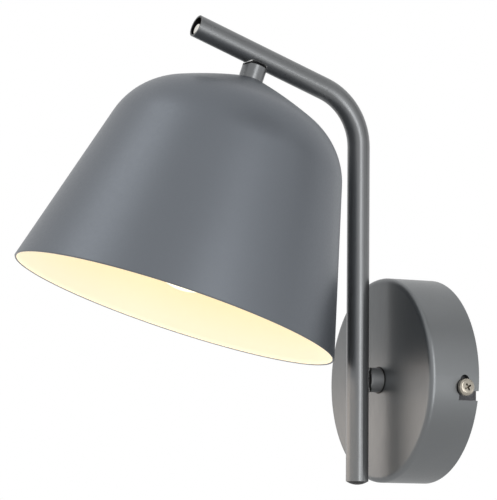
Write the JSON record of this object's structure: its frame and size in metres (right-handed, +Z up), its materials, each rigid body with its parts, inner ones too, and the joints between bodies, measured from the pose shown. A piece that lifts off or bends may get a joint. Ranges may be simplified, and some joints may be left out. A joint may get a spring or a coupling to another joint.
{
  "type": "wall reading lamp",
  "caption": "Wall reading lamp: round metal canopy, bent arm tube that swivels on it, and a spun bell shade hung from the arm, with its lampholder and bulb.",
  "frame": {"origin": "on the wall plane, which is the bracket's back face, at the canopy's centre", "axes": "+Z up, +Y into the wall, +X to the right of someone in the room who faces the wall"},
  "size_m": [0.1599, 0.211, 0.2228],
  "materials": {
    "satin_nickel": "satin nickel plate",
    "shade_metal": "satin nickel plate outside, white enamel inside",
    "bright_nickel": "bright nickel plate",
    "zinc_plate": "zinc plate",
    "black_plastic": "moulded",
    "pale_plastic": "moulded",
    "holder_plastic": "moulded",
    "brass": "bright",
    "solder": "dull",
    "bulb_base_metal": "bright",
    "opal_glass": "opal",
    "clear_glass": "clear",
    "dark_glass": "black",
    "flex_sheath": "smooth sheath"
  },
  "bodies": {
    "bracket": {"wall_bracket": "zinc_plate", "side_screw_right": "bright_nickel", "side_screw_left": "bright_nickel", "terminal_block": "pale_plastic", "terminal_screw_1": "brass", "terminal_screw_2": "brass", "terminal_screw_3": "brass", "terminal_screw_4": "brass", "earth_washer": "zinc_plate", "earth_screw": "zinc_plate", "canopy_flex": "flex_sheath"},
    "canopy": {"canopy_cup": "satin_nickel", "stop_pin": "zinc_plate"},
    "arm": {"arm_tube": "satin_nickel", "tube_foot_plug": "black_plastic", "tube_end_plug": "pale_plastic", "wall_saddle_liner": "bright_nickel", "wall_saddle_spacer": "black_plastic", "wall_stub": "satin_nickel", "wall_barrel_nut": "zinc_plate", "wall_hollow_screw": "zinc_plate", "friction_washer": "black_plastic", "stop_disc": "zinc_plate", "lock_nut": "zinc_plate", "arm_flex": "flex_sheath"},
    "shade": {"shade_saddle_liner": "bright_nickel", "shade_saddle_spacer": "black_plastic", "shade_stub": "satin_nickel", "shade_barrel_nut": "zinc_plate", "shade_hollow_screw": "zinc_plate", "crown_nut": "zinc_plate", "crown_washer": "zinc_plate", "shade_shell": "shade_metal", "holder_cap": "holder_plastic", "holder_core": "holder_plastic", "holder_skirt": "holder_plastic", "holder_sleeve": "brass", "holder_contact": "brass", "bulb_base": "bulb_base_metal", "bulb_insulator": "dark_glass", "bulb_contact": "solder", "bulb_glass": "opal_glass", "bulb_stem": "clear_glass", "shade_flex": "flex_sheath"}
  },
  "joints": [
    {"name": "canopy_twist", "type": "hinge", "parent": "bracket", "child": "canopy", "pos_m": [0, 0, 0], "axis": [0, 1, 0], "range_deg": [-4.6, 4.4]},
    {"name": "arm_swivel", "type": "hinge", "parent": "canopy", "child": "arm", "pos_m": [0, 0, 0], "axis": [0, 1, 0], "range_deg": [-90, 90]},
    {"name": "shade_swing", "type": "hinge", "parent": "arm", "child": "shade", "pos_m": [0, -0.09584, 0.15451], "axis": [0, -0.9426, 0.3338], "range_deg": [-9.3, 18.7]}
  ]
}
